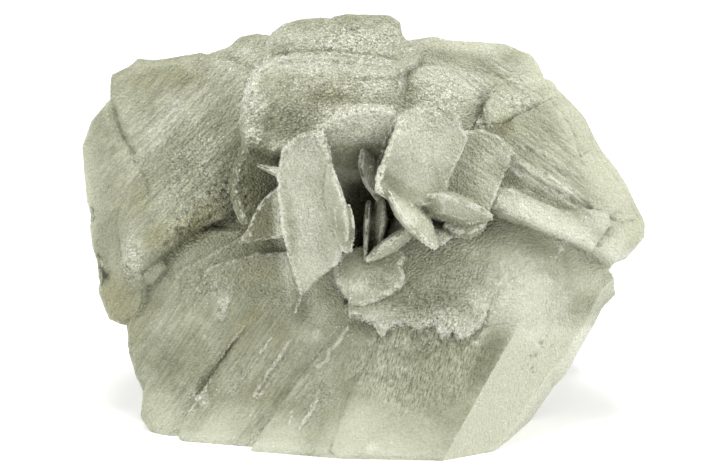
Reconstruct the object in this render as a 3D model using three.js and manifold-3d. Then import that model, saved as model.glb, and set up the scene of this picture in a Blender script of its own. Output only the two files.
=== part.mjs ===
// A selenite (gypsum) cluster: thick slabs of crystal grown together round an open rose of small blades.
// It is one grown piece, so every crystal below is fused into a single solid. Millimetres, +Z up,
// standing on its flat base.
//
// The crystals are laid out in the rose's own frame: X to the right, Z up the rose, Y going in behind its
// open face. The whole rose then leans back by leanDeg, and everything below the base plane is taken off.

import * as THREE from 'three';
import { ConvexGeometry } from 'three/addons/geometries/ConvexGeometry.js';
import { mergeVertices } from 'three/addons/utils/BufferGeometryUtils.js';
import Module from 'manifold-3d';

const wasm = await Module();
wasm.setup();

// ---- driving dimensions -------------------------------------------------------------------------

const leanDeg = 18;          // how far the rose's face leans back from upright
const rim = {                // the nibbled edge that slow dissolving leaves on every crystal
  slab: { step: 7.5, bite: 0.7 },
  petal: { step: 4.2, bite: 0.4 },
};
const bladeShape = {
  rim: 0.7,                  // how thick the rim is
  plateau: 0.5,              // the flat middle's share of the whole outline
  uneven: 0.12,              // how far its corners stray, as a share of its size
  pointed: 0.7,              // 0 gives an ellipse, 1 a lens with pointed tips
};
const rearDepth = 61;        // how far the rearmost face lies behind the front of the rose
const cutter = 400;          // side of the blocks that cut a face or the base flat

const random = seededRandom(20);

// ---- small helpers ------------------------------------------------------------------------------

function seededRandom(seed) {
  let state = seed;
  return () => {
    state = (state * 1664525 + 1013904223) % 4294967296;
    return state / 4294967296;
  };
}

// A closed three.js geometry as a solid that can be joined and cut, and back again.
function toSolid(geometry) {
  const bare = geometry.clone();
  bare.deleteAttribute('normal');
  bare.deleteAttribute('uv');
  const merged = mergeVertices(bare);
  return new wasm.Manifold(new wasm.Mesh({
    numProp: 3,
    vertProperties: new Float32Array(merged.attributes.position.array),
    triVerts: new Uint32Array(merged.index.array),
  }));
}

function toGeometry(solid) {
  const mesh = solid.getMesh();
  const geometry = new THREE.BufferGeometry();
  geometry.setAttribute('position', new THREE.BufferAttribute(new Float32Array(mesh.vertProperties), 3));
  geometry.setIndex(new THREE.BufferAttribute(new Uint32Array(mesh.triVerts), 1));
  geometry.computeVertexNormals();
  return geometry;
}

// The outline with points added every step or so along its sides, each moved in or out by up to bite.
function nibbled(outline, { step, bite }) {
  const points = [];
  outline.forEach((from, i) => {
    const to = outline[(i + 1) % outline.length];
    const side = [to[0] - from[0], to[1] - from[1]];
    const length = Math.hypot(...side);
    const pieces = Math.max(1, Math.round(length / step));
    for (let k = 0; k < pieces; k++) {
      const along = k / pieces;
      const out = k ? (random() - 0.5) * 2 * bite : 0;
      points.push([
        from[0] + side[0] * along + side[1] / length * out,
        from[1] + side[1] * along - side[0] / length * out,
      ]);
    }
  });
  return points;
}

// A flat plate from an outline in the plane's own two directions, chamfered all round on both faces. Its
// front face lies at local z = 0 and it is thick deep.
function plate(outline, { thick, chamfer: [inward, deep] }) {
  const shape = new THREE.Shape(outline.map(([u, v]) => new THREE.Vector2(u, v)));
  const geometry = new THREE.ExtrudeGeometry(shape, {
    steps: 1,
    depth: thick - 2 * deep,
    bevelEnabled: true,
    bevelSegments: 1,
    bevelSize: inward,
    bevelOffset: -inward,
    bevelThickness: deep,
  });
  return geometry.translate(0, 0, deep);
}

// A crystal face: how deep it lies at one place, and how many millimetres it falls back for each
// millimetre to the right and for each one up.
function face(at, depth, fall) {
  const inward = new THREE.Vector3(-fall[0], 1, -fall[1]).normalize();
  const across = new THREE.Vector3(1, fall[0], 0).normalize();
  const down = new THREE.Vector3().crossVectors(inward, across);
  const origin = new THREE.Vector3(at[0], depth, at[1]);
  return {
    origin,
    across,
    down,
    inward,
    point: ([x, z]) => new THREE.Vector3(x, depth + fall[0] * (x - at[0]) + fall[1] * (z - at[1]), z),
  };
}

// A tablet that grows on a crystal face: its rim lies in the face and its chamfered front stands a little
// forward of it. The outline is what shows from straight in front of the rose. proud moves it further
// out, as on a growth layer.
function tablet(onFace, outline, { thick, chamfer, edge = rim.slab, proud = 0 }) {
  const flat = outline.map((place) => {
    const offset = onFace.point(place).sub(onFace.origin);
    return [offset.dot(onFace.across), offset.dot(onFace.down)];
  });
  const place = new THREE.Matrix4()
    .makeBasis(onFace.across, onFace.down, onFace.inward)
    .setPosition(onFace.origin.clone().addScaledVector(onFace.inward, -proud - chamfer[1]));
  return plate(nibbled(flat, edge), { thick, chamfer }).applyMatrix4(place);
}

// The crystal without whatever stands forward of a face.
function cutBack(crystal, alongFace) {
  const place = new THREE.Matrix4()
    .makeBasis(alongFace.across, alongFace.down, alongFace.inward)
    .setPosition(alongFace.origin);
  const ahead = new THREE.BoxGeometry(cutter, cutter, cutter)
    .translate(0, 0, -cutter / 2)
    .applyMatrix4(place);
  return toGeometry(toSolid(crystal).subtract(toSolid(ahead)));
}

// A lens-shaped blade from tip to tip, thickest in the middle and bevelled to a thin rim all round. spin
// turns its broad sides about the line between its tips: 0 shows the rim to the front, 90 the broad side.
function blade(from, to, { wide, thick, spin = 0 }) {
  const start = new THREE.Vector3(...from);
  const end = new THREE.Vector3(...to);
  const axis = end.clone().sub(start);
  const length = axis.length();
  axis.normalize();
  const thin = new THREE.Vector3().crossVectors(axis, new THREE.Vector3(0, 1, 0)).normalize()
    .applyAxisAngle(axis, THREE.MathUtils.degToRad(spin));
  const broad = new THREE.Vector3().crossVectors(thin, axis);
  const middle = start.clone().lerp(end, 0.5);
  const corners = [];
  const lens = (across) => across * Math.abs(across) ** bladeShape.pointed;
  const ring = (count, size, halfThick, uneven) => {
    for (let i = 0; i < count; i++) {
      const turn = (i + (random() - 0.5) * uneven) / count * 2 * Math.PI;
      const grow = size * (1 + (random() - 0.5) * bladeShape.uneven);
      [-halfThick, halfThick].forEach((side) => corners.push(middle.clone()
        .addScaledVector(axis, Math.cos(turn) * length / 2 * grow)
        .addScaledVector(broad, lens(Math.sin(turn)) * wide / 2 * grow)
        .addScaledVector(thin, side)));
    }
  };
  ring(14, 1, bladeShape.rim / 2, 0.5);
  ring(7, bladeShape.plateau, thick / 2, 0.4);
  return new ConvexGeometry(corners);
}

// A slab growing out from the middle of the cluster. heading swings it from straight back towards the
// right, climb lifts it, roll turns its broad sides about its own length; 0 leaves them upright.
function spoke({ root, heading, climb, roll, reach, wide, thick, slant = 0 }) {
  const toRad = THREE.MathUtils.degToRad;
  const axis = new THREE.Vector3(
    Math.sin(toRad(heading)) * Math.cos(toRad(climb)),
    Math.cos(toRad(heading)) * Math.cos(toRad(climb)),
    Math.sin(toRad(climb)),
  );
  const level = new THREE.Vector3(Math.cos(toRad(heading)), -Math.sin(toRad(heading)), 0);
  const thin = level.applyAxisAngle(axis, toRad(roll));
  const broad = new THREE.Vector3().crossVectors(thin, axis);
  const half = wide / 2;
  const outline = [
    [0, -half * 0.8], [reach * 0.72, -half], [reach * 0.9, -half * 0.72], [reach, -half * 0.1 + slant],
    [reach * 0.96, half * 0.4 + slant], [reach * 0.8, half * 0.92], [reach * 0.55, half], [0, half * 0.8],
  ];
  const place = new THREE.Matrix4()
    .makeBasis(axis, broad, thin)
    .setPosition(new THREE.Vector3(...root).addScaledVector(thin, -thick / 2));
  const chamfer = [thick * 0.3, thick * 0.3];
  return plate(nibbled(outline, rim.slab), { thick, chamfer }).applyMatrix4(place);
}

// ---- the big outer slabs ------------------------------------------------------------------------
// Outlines are [x, z] as seen from straight in front of the rose.

const faces = {
  lowerLeft: face([-40, 5], 14.6, [-0.22, 0.23]),
  longLedge: face([-40, 29], 20.5, [-0.22, 0.08]),
  shortLedge: face([-40, 31], 20.9, [-0.22, -0.1]),
  secondPlate: face([-30, 3], 9.3, [-0.2, 0.292]),
  thirdPlate: face([-13, 0], 2.7, [-0.2, 0.385]),
  lowerMiddle: face([5, 0], 0.8, [-0.05, 0.3]),
  crust: face([5, 25], 7, [-0.06, 0.37]),
  lowerRight: face([26, 18.5], 4.3, [0.5, -0.014]),
  right: face([44, 57], 14.5, [0.12, 0.2]),
  upperRight: face([25, 74], 20.5, [0.15, 0.5]),
  top: face([2, 84], 22, [0, 0.6]),
  topLeft: face([-10, 82], 20, [-0.15, 0.5]),
  left: face([-37, 61], 22.3, [-0.1, 0.18]),
  farLeft: face([-50, 50], 23.5, [-0.35, 0.05]),
};

const outerSlabs = [
  // the far left slab, whose right edge laps over the left one
  tablet(faces.farLeft, [
    [-51, 72], [-55, 67.4], [-56.9, 62.2], [-56.6, 58], [-55.9, 51], [-55.4, 46], [-54, 36.5],
    [-53.4, 32.4],
    [-51.4, 27.4], [-49, 26.4], [-44, 28], [-43.4, 36], [-44.4, 42], [-42.4, 47], [-42.2, 52],
    [-43, 56], [-46, 60.4], [-48.6, 63.6], [-50, 67.6],
  ], { thick: 18, chamfer: [0.9, 1.5] }),
  // the left slab, a broad face with its top edge bevelled
  tablet(faces.left, [
    [-51.3, 74.7], [-51, 76.8], [-47.4, 78.4], [-45.6, 80.2], [-42.6, 79.8], [-35, 80.8], [-33, 81.2],
    [-27, 79.5],
    [-18, 76], [-16, 61.5], [-22, 53], [-28, 48.3], [-34, 45.5], [-40, 41], [-45, 37], [-48.5, 39],
    [-49.5, 46.5],
    [-49.3, 59.5], [-46.8, 61], [-50, 67], [-51.2, 70.5],
  ], { thick: 20, chamfer: [1.6, 1.3] }),
  // the lower left slab and the two plates that step forward of it, each ending along a slanting ledge
  tablet(faces.lowerLeft, [
    [-48.5, 39], [-48, 31.5], [-47.7, 25.8], [-47.3, 21], [-46.1, 16.8], [-44.3, 13.2], [-44.8, 8],
    [-43.2, 5.6],
    [-38, 1], [-20, 0], [-6, 10], [0, 46], [-24, 46], [-33, 46], [-41, 43],
  ], { thick: 18, chamfer: [1.2, 1] }),
  tablet(faces.secondPlate, [
    [-16.8, 34], [-24, 24.4], [-29, 17.7], [-32.8, 12.6], [-35, 9.2], [-37.2, 4.4], [-35, 1], [-24, 0],
    [-12, 0], [-2, 15], [0, 28], [-9, 36],
  ], { thick: 16, chamfer: [0.45, 0.6] }),
  tablet(faces.thirdPlate, [
    [-4, 29.4], [-8.6, 21.5], [-13.5, 15], [-17.5, 9.4], [-20.6, 5], [-22.8, 1.4], [-20.5, -1], [-13, -2],
    [-5, -1.5], [-2.5, 8], [2, 18], [6, 26], [3, 33.5],
  ], { thick: 16, chamfer: [0.45, 0.6] }),
  // the lower middle slab, the broadest, with one long facet closing it on the right
  cutBack(tablet(faces.lowerMiddle, [
    [3, 41.5], [7, 50], [25, 52], [38, 47], [45, 42.6], [49.9, 37.8], [47.4, 35.2], [44.6, 30],
    [40.8, 23.6],
    [39.2, 21.2], [37.2, 19.2], [33.6, 14], [29, 7.2], [26.2, 3.4], [23, 0], [13, -1.5], [5, -2],
    [-4, -1.5], [-7, 1.5], [-5, 7.5], [-2.5, 14], [2, 21], [4.4, 27], [2, 34],
  ], { thick: 21, chamfer: [0.7, 0.9] }), faces.lowerRight),
  // the right slab, the raised rim along its lower edge, and the small block at the end of that rim
  tablet(faces.right, [
    [23, 67.5], [27, 69], [33, 70.5], [37, 73.5], [39, 73.5], [42.2, 70.3], [44.2, 68], [45.8, 64.8],
    [47.8, 61.2],
    [50.8, 57.2], [52.8, 54.2], [54.4, 50.7], [56.2, 47], [56, 44], [54.6, 42.4], [51.6, 41.2],
    [46, 43], [36, 45],
    [29, 47.5], [25, 49.5], [18, 55.5],
  ], { thick: 18, chamfer: [1, 1.6] }),
  tablet(faces.right, [
    [26.5, 53.6], [29.2, 53.4], [33.7, 51.4], [39.2, 48.9], [44.2, 49.2], [48.4, 48.2], [48.9, 46.2],
    [45.3, 41], [36, 44.8], [30.6, 47.1], [25.2, 49.4],
  ], { thick: 12, chamfer: [0.6, 0.7], proud: 2.2 }),
  tablet(faces.right, [
    [45.2, 41.2], [46.6, 44.6], [52, 43.2], [50.9, 40.3], [49.7, 38.4],
  ], { thick: 12, chamfer: [0.5, 0.7], proud: 1.2, edge: rim.petal }),
  // the upper right slab
  tablet(faces.upperRight, [
    [5, 82.8], [11, 84], [14, 84.4], [17, 83.7], [23, 83.4], [28.5, 82.9], [31.2, 81.6], [33.6, 80.9],
    [35.4, 78.8],
    [36.4, 76.2], [38.4, 75.2], [39.4, 73], [37, 65.5], [27, 60], [18, 60], [8, 70],
  ], { thick: 19, chamfer: [1.2, 1.8] }),
  // the scaly bulge at its foot, over the fissure
  tablet(face([30, 70], 13.2, [0.1, 0.7]), [
    [24.5, 66.4], [23.8, 69.4], [25.4, 72.6], [28.4, 74.6], [31.6, 74.2], [34.4, 72.8], [36.8, 71],
    [33.4, 70], [30, 68.6], [27.4, 67.2],
  ], { thick: 9, chamfer: [0.8, 0.8], edge: rim.petal }),
  // the three that crown the cluster
  tablet(faces.top, [
    [-11, 84], [-6.5, 88.3], [-3.5, 89], [1.5, 88.8], [5.5, 88.6], [7.3, 87.3], [7.8, 84.7], [8.7, 83.6],
    [10.6, 83.3], [12.6, 81.6], [11, 77], [7, 70], [-5, 70], [-10, 74],
  ], { thick: 17, chamfer: [0.9, 1.4] }),
  tablet(faces.topLeft, [
    [-20.2, 80.2], [-19.8, 83.3], [-18.5, 85.4], [-16.2, 87], [-13, 87.9], [-9, 88.3], [-6.5, 87.9],
    [-3.6, 86.2],
    [-1.5, 85], [-1, 74], [-13, 70], [-20.5, 74],
  ], { thick: 16, chamfer: [1, 1.4] }),
  tablet(face([-24, 80], 28, [-0.2, 0.3]), [
    [-35, 78], [-32, 81], [-27.4, 82.6], [-25.2, 84.6], [-22, 85.2], [-18, 84.6], [-12, 79], [-14, 68],
    [-27, 66],
  ], { thick: 15, chamfer: [1.5, 2] }),
];

// ---- growth layers: thin sheets that stand a little forward of a slab's face --------------------

const growthLayers = [
  // two curved ledges at the top of the lower left slab, whose lower edges sink into it
  tablet(faces.longLedge, [
    [-39.8, 32.4], [-38.8, 36.4], [-35.4, 38.6], [-32.2, 40], [-24, 44.5], [-14, 44.5], [-10, 36],
    [-18, 29.5],
    [-26, 27], [-34, 28.5],
  ], { thick: 5, chamfer: [0.4, 0.5] }),
  tablet(faces.shortLedge, [
    [-32.4, 34.4], [-32.4, 37.6], [-29.6, 38.6], [-24.6, 40], [-21.8, 41], [-13, 41.4], [-9, 37],
    [-15, 31.5],
    [-22, 29.5], [-28, 30], [-31, 31.8],
  ], { thick: 5, chamfer: [0.35, 0.6] }),
  // the crust on the lower middle slab, with its ragged lower edge
  tablet(faces.crust, [
    [6, 42], [24, 43.5], [34, 40], [30, 36], [26.5, 33], [24.8, 30.6],
    [24, 27.6], [22, 25.4], [19.5, 23.6], [17.6, 25.2], [15.4, 24.2], [13.8, 26.8], [11.2, 25.4], [8, 27],
    [5.2, 26.2], [3.4, 24.6], [2, 27.2], [-2.8, 28.4], [-3, 31.5], [3, 35],
  ], { thick: 3, chamfer: [0.5, 0.5] }),
  // on the right slab: its grey middle, and below that the pale sheet towards its outer end
  tablet(faces.right, [
    [22.6, 66.8], [26.5, 67.6], [30, 69.2], [33.2, 70.6], [36.6, 71.4], [39.2, 68.4], [41.7, 63.9],
    [42.9, 59.4], [45.7, 53.9], [49.7, 50.4], [51.6, 48.8], [48.6, 47.6], [43.8, 50.4], [38.8, 52.6],
    [35.2, 54.6], [32, 57.2], [28.4, 59.4], [24, 62],
  ], { thick: 4, chamfer: [0.45, 0.5], proud: 1.8, edge: rim.petal }),
  tablet(faces.right, [
    [42.7, 59.4], [45.6, 61.2], [48.6, 57], [51.4, 53.4], [53, 50.2], [54.2, 47.4], [51, 46.6],
    [46, 49],
  ], { thick: 4, chamfer: [0.4, 0.35], proud: 1.7 }),
  // slanting growth bands on the left slab
  tablet(faces.left, [
    [-40, 58], [-38, 63], [-34, 70], [-26, 76], [-21, 74], [-21, 60], [-26, 51.4], [-33, 47.8],
    [-39, 48],
  ], { thick: 4, chamfer: [1.4, 0.7], proud: 0.9 }),
  tablet(faces.left, [
    [-37, 52], [-33, 59], [-27, 66.5], [-22, 70], [-18, 62], [-24, 53.5], [-31, 50],
  ], { thick: 4, chamfer: [1.4, 0.6], proud: 1.5 }),
  // rubble where the left slab meets the lower left one
  tablet(face([-45, 38], 21.2, [-0.25, 0.2]), [
    [-49.6, 40], [-46.6, 43.4], [-42.4, 42], [-39.6, 38.2], [-42.6, 34.6], [-47.6, 34],
  ], { thick: 6, chamfer: [1.8, 1], edge: rim.petal }),
  tablet(face([-45, 31], 21.5, [-0.3, 0.35]), [
    [-49.4, 32.4], [-45.6, 34.4], [-42.4, 32.8], [-43.6, 28.8], [-47.4, 27.6],
  ], { thick: 6, chamfer: [1.2, 1], edge: rim.petal }),
  // the crust across the crown
  tablet(face([-2, 80], 15.9, [0.02, 0.7]), [
    [-15, 80], [-16, 83], [-14.3, 84.7], [-10.5, 85.2], [-6, 84.6], [-2.5, 85], [0, 86.6], [4, 87],
    [6.5, 86.2], [7.6, 83.5], [10, 83.2], [12, 81.2], [10.5, 78.5], [6, 75.5], [-5, 75.5], [-14, 76],
  ], { thick: 10, chamfer: [0.5, 0.6], edge: rim.petal }),
  // a small knob beside the upper right slab
  tablet(face([25.5, 66.8], 14, [0.1, 0.2]), [
    [24, 66], [25, 67.8], [26.8, 68.2], [27, 66.6], [25.8, 65.4],
  ], { thick: 8, chamfer: [0.5, 0.6] }),
];

// ---- the inner slabs, between the outer ones and the rose ---------------------------------------

const innerSlabs = [
  tablet(face([-8, 70], 11.5, [0.05, 0.3]), [
    [-23, 74.5], [-22.3, 76.4], [-21, 78], [-18, 79.5], [-16.2, 80.4], [-9, 80.2], [-4, 79.8],
    [1.5, 79.4],
    [6.2, 78.2], [7.6, 77], [7.4, 74.4], [6.5, 72], [6.5, 69], [5, 60.6], [-7, 61.4], [-18, 61],
    [-23.4, 63.4],
    [-24.2, 65.8], [-24.4, 69.4], [-23.6, 72.4],
  ], { thick: 22, chamfer: [0.8, 0.9] }),
  tablet(face([14, 71], 14.7, [0.15, 0.35]), [
    [3.4, 75.5], [5, 76.8], [9.6, 78], [13.2, 78.6], [16.4, 78.2], [19.2, 76.4], [21.4, 74.5],
    [23.4, 72.8],
    [23.4, 70.2], [22.6, 67], [22.2, 65.4], [20, 62.6], [13, 58], [5, 60], [3, 70.5],
  ], { thick: 10, chamfer: [0.8, 0.9] }),
];

// ---- the rose: petals that show their broad sides -----------------------------------------------

const petalEdge = { edge: rim.petal };
const petals = [
  // front left, the largest
  tablet(face([-11, 48], 3.7, [-0.3, -0.35]), [
    [-16.2, 61], [-15, 62.8], [-13, 64.2], [-10.4, 64.8], [-8.4, 64.6], [-7, 60.4], [-6.2, 56.4],
    [-5.4, 51.4], [-4.6, 45.8], [-4.4, 41.4], [-5.2, 38.6], [-6.8, 37.4], [-9.6, 35],
    [-12.4, 32.2], [-13.2, 33.8],
    [-13.6, 36.4], [-14.8, 39.4], [-15.8, 43.4], [-16.6, 48.4], [-17, 53.4], [-17, 57.8],
  ], { thick: 2.2, chamfer: [0.45, 0.5], ...petalEdge }),
  // top, leaning out over the hollow
  tablet(face([0, 62], 7.7, [0.1, -0.8]), [
    [-9.4, 65], [-7, 66.4], [-4, 68.4], [-1.8, 69.3], [1.2, 69.5], [4.2, 69.2], [5.8, 68.6], [7, 67.4],
    [7, 62], [5, 55], [2, 49], [-2, 49], [-5, 54], [-7.5, 58.4], [-9.4, 62.4],
  ], { thick: 2.6, chamfer: [0.5, 0.6], ...petalEdge }),
  // front right
  tablet(face([11, 60], 2.7, [0.25, 0.05]), [
    [2.2, 53], [2.6, 55.4], [3.6, 58.4], [4.8, 61.8], [6, 64.8], [6.8, 67.2], [8.2, 68.9], [10.8, 69.8],
    [13.2, 69.4], [15.4, 68.2], [17.2, 67.2], [18.8, 68.3], [19.4, 66.2], [20.6, 63.4], [19.6, 61],
    [18.2, 58.2], [16.8, 55.4], [16.2, 52], [13.6, 50.4], [9.6, 50], [6.2, 50.6],
  ], { thick: 2.6, chamfer: [0.5, 0.6], ...petalEdge }),
  // right, behind the front right one
  tablet(face([23, 57], 8.4, [0.22, 0.1]), [
    [19.6, 65], [23.2, 65.4], [27.2, 64], [30, 61.6], [29.2, 59.4], [27.8, 55.8], [26.4, 52.2],
    [24.8, 49.2],
    [22.8, 49], [19.6, 49], [14, 49.5], [13, 55.4], [15, 62],
  ], { thick: 3.9, chamfer: [0.4, 0.6], ...petalEdge }),
  // the flat disc below the hollow
  tablet(face([0, 36], 8.9, [-0.05, 0.24]), [
    [-6.2, 37.6], [-5.6, 39], [-3.8, 41.4], [0.2, 42.5], [4.2, 43], [7.2, 42.4], [8.2, 40], [7.4, 38.2],
    [8, 36.2], [7.4, 34.6], [5.2, 32.8], [2.2, 31.4], [-0.4, 30.6], [-2.4, 30.8], [-4, 32.6], [-5.6, 35],
  ], { thick: 3.6, chamfer: [0.5, 0.5], ...petalEdge }),
  // small, under the right hand blade
  tablet(face([20, 47], 8.7, [0, 0.4]), [
    [15.6, 46.2], [17.2, 49], [22.2, 50], [25, 49.6], [24.4, 47.2], [23.6, 46], [21.2, 44.6],
    [18.2, 44.8],
  ], { thick: 3.7, chamfer: [0.35, 0.5], ...petalEdge }),
  // left, behind the front left one
  tablet(face([-19, 47], 10.5, [-0.2, -0.1]), [
    [-25.2, 42.6], [-23.2, 45.8], [-22, 48.6], [-20.4, 51], [-18.8, 53], [-16.4, 54.4], [-12, 49.4],
    [-11, 45.4], [-16, 44], [-21.8, 43],
  ], { thick: 3.4, chamfer: [0.4, 0.6], ...petalEdge }),
  // far left, its inner side falling into the shade
  tablet(face([-22, 55], 13, [0.35, 0]), [
    [-23.2, 64.4], [-24.4, 60.6], [-25.6, 57.4], [-26.2, 53.4], [-25.2, 49.6], [-23.8, 46.6], [-20.8, 46],
    [-16, 47], [-13, 54], [-13, 63], [-17.8, 65],
  ], { thick: 4, chamfer: [0.5, 0.6], ...petalEdge }),
  // a back wall for the hollow
  tablet(face([-1, 48], 17.5, [0, -0.1]), [
    [-12, 38], [-14, 52], [-8, 62], [8, 62], [14, 52], [12, 40],
  ], { thick: 8, chamfer: [1.5, 1.5], ...petalEdge }),
];

// ---- the rose: blades seen on their rims --------------------------------------------------------

const rimBlades = [
  // along the front left petal, and its small twin
  blade([-7.4, -1, 59.4], [-3.6, 2.4, 40.4], { wide: 8.6, thick: 3, spin: -24 }),
  blade([-3, 1.2, 50.4], [-3, 2.4, 41], { wide: 5, thick: 1.8, spin: -24 }),
  // one high in the hollow and two deep in it
  blade([0.4, 9, 63.4], [3, 9, 51.2], { wide: 11, thick: 2.6, spin: 26 }),
  blade([1, 11, 51.4], [0.4, 9.6, 38.8], { wide: 11, thick: 1.6, spin: 3 }),
  blade([3.4, 12, 53], [2, 11, 39.2], { wide: 13, thick: 2.8, spin: -10 }),
  // across the front, to the right, and the low spike
  blade([3.2, 4.5, 57], [14.8, 4, 41.2], { wide: 13, thick: 4.4, spin: 16 }),
  blade([7.6, 7.5, 51.6], [26, 6.5, 47.8], { wide: 15, thick: 4.4, spin: -16 }),
  blade([0, 6, 39], [11.4, 6.5, 46.6], { wide: 10, thick: 2.7, spin: -8 }),
  blade([12, 9.5, 45.4], [17.6, 10, 44], { wide: 8, thick: 2.4, spin: 30 }),
  // the little one at far left
  blade([-21.4, 9.5, 58.4], [-9, 9, 54], { wide: 10, thick: 2 }),
  // what the broad petals grow from
  blade([-12, 12, 60], [-12, 12, 38], { wide: 14, thick: 3, spin: 20 }),
  blade([10, 12, 66], [9, 11, 46], { wide: 14, thick: 3, spin: -25 }),
];

// ---- the back of the cluster --------------------------------------------------------------------
// These are laid out as the front is, but seen from behind, with depths measured in from the rearmost
// point.

const rearFaces = {
  lowNear: face([24, 30], 6, [0.3, 0.34]),
  lowFar: face([-24, 30], 8, [-0.32, 0.36]),
  highNear: face([28, 58], 19, [0.36, 0.38]),
  highFar: face([-26, 58], 20, [-0.34, 0.4]),
};

const backSlabs = [
  // low on either side
  tablet(rearFaces.lowNear, [
    [0, 16], [1, 34], [8, 49], [21, 53], [38, 47], [45, 35], [44, 22], [36, 10], [20, 8],
  ], { thick: 22, chamfer: [2.4, 2.4] }),
  tablet(rearFaces.lowFar, [
    [6, 14], [-8, 8], [-20, 8], [-31, 17], [-39, 30], [-37, 45], [-25, 53], [-6, 51], [4, 36],
  ], { thick: 22, chamfer: [2.2, 2.6] }),
  // high on either side
  tablet(rearFaces.highNear, [
    [4, 42], [3, 60], [11, 74], [27, 77], [40, 74], [48, 64], [49, 50], [40, 40], [20, 38],
  ], { thick: 14, chamfer: [2.2, 2.4] }),
  tablet(rearFaces.highFar, [
    [4, 44], [-10, 40], [-30, 40], [-44, 44], [-49, 54], [-44, 64], [-36, 72], [-22, 78], [-6, 79],
    [4, 68],
  ], { thick: 14, chamfer: [2.2, 2.2] }),
  // behind the crown
  tablet(face([0, 78], 26, [0.05, 0.5]), [
    [-26, 68], [-19, 79], [-7, 84], [6, 86], [15, 84], [23, 79], [27, 70], [12, 62], [-10, 62],
  ], { thick: 12, chamfer: [2, 2.2] }),
  // the tall one in the middle, the rearmost
  tablet(face([-3, 42], 1.5, [0.14, 0.32]), [
    [-12, 18], [-17, 32], [-19, 50], [-13, 63], [-3, 71], [8, 68], [14, 56], [13, 38], [9, 22], [0, 14],
  ], { thick: 18, chamfer: [2.2, 2.4] }),
  // three that break through between them at a slant
  tablet(face([14, 60], 11, [-0.5, 0.5]), [
    [1, 50], [-1, 62], [5, 71], [15, 75], [25, 71], [28, 60], [22, 50], [11, 45],
  ], { thick: 14, chamfer: [1.6, 2] }),
  tablet(face([-30, 40], 11, [0.5, 0.2]), [
    [-41, 27], [-42, 42], [-37, 53], [-28, 56], [-20, 48], [-19, 34], [-28, 23],
  ], { thick: 14, chamfer: [1.6, 2] }),
  tablet(face([34, 38], 10.5, [-0.4, 0.1]), [
    [25, 28], [23, 40], [29, 50], [40, 51], [45, 42], [43, 30], [35, 23],
  ], { thick: 14, chamfer: [1.6, 2] }),
  // growth layers on them
  tablet(rearFaces.lowNear, [
    [12, 16], [17, 30], [25, 43], [36, 41], [41, 31], [37, 17], [26, 12],
  ], { thick: 6, chamfer: [1.2, 1], proud: 2.6 }),
  tablet(rearFaces.lowFar, [
    [-12, 14], [-20, 21], [-27, 31], [-30, 42], [-24, 47], [-14, 44], [-6, 30], [-6, 16],
  ], { thick: 6, chamfer: [1.2, 1], proud: 2.6 }),
  tablet(rearFaces.highNear, [
    [16, 50], [20, 66], [30, 73], [40, 68], [44, 58], [36, 48],
  ], { thick: 6, chamfer: [1, 1], proud: 2.8 }),
  tablet(rearFaces.highFar, [
    [-20, 46], [-34, 48], [-43, 56], [-36, 66], [-24, 73], [-16, 64],
  ], { thick: 6, chamfer: [1, 1], proud: 2.6 }),
].map((slab) => slab.rotateZ(Math.PI).translate(0, rearDepth, 0));

// slabs that close the sides low down, behind the front ones
const sideSlabs = [
  spoke({ root: [30, 14, 24], heading: -5, climb: 6, roll: 35, reach: 38, wide: 38, thick: 12, slant: 2 }),
  spoke({ root: [-35, 26, 28], heading: 4, climb: 4, roll: -8, reach: 28, wide: 38, thick: 13, slant: -3 }),
];

// the broken heart of the cluster, which every crystal above grows from
const heart = new THREE.IcosahedronGeometry(1, 1).scale(37, 19, 33).translate(-2, 33, 36);

// ---- fuse, lean back and cut the base -----------------------------------------------------------

const leanBack = new THREE.Matrix4().makeRotationX(THREE.MathUtils.degToRad(-leanDeg));
const ground = new THREE.BoxGeometry(cutter, cutter, cutter).translate(0, 0, -cutter / 2);
const crystals = [
  heart, ...backSlabs, ...sideSlabs, ...outerSlabs, ...growthLayers, ...innerSlabs, ...petals, ...rimBlades,
];
const cluster = crystals
  .map((crystal) => toSolid(crystal.applyMatrix4(leanBack)))
  .reduce((whole, crystal) => whole.add(crystal))
  .subtract(toSolid(ground));

const geometry = toGeometry(cluster);
geometry.computeBoundingBox();
const middle = geometry.boundingBox.getCenter(new THREE.Vector3());

const selenite = new THREE.MeshStandardMaterial({ color: 0xb4b79c, roughness: 0.55, metalness: 0 });
const specimen = new THREE.Mesh(geometry, selenite);
specimen.name = 'selenite_cluster';
specimen.position.set(-middle.x, -middle.y, 0);

const part = new THREE.Group();
part.add(specimen);
export default part;
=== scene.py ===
import math

import bpy
import numpy as np
from mathutils import Matrix, Vector, noise
from mathutils.bvhtree import BVHTree


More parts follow.
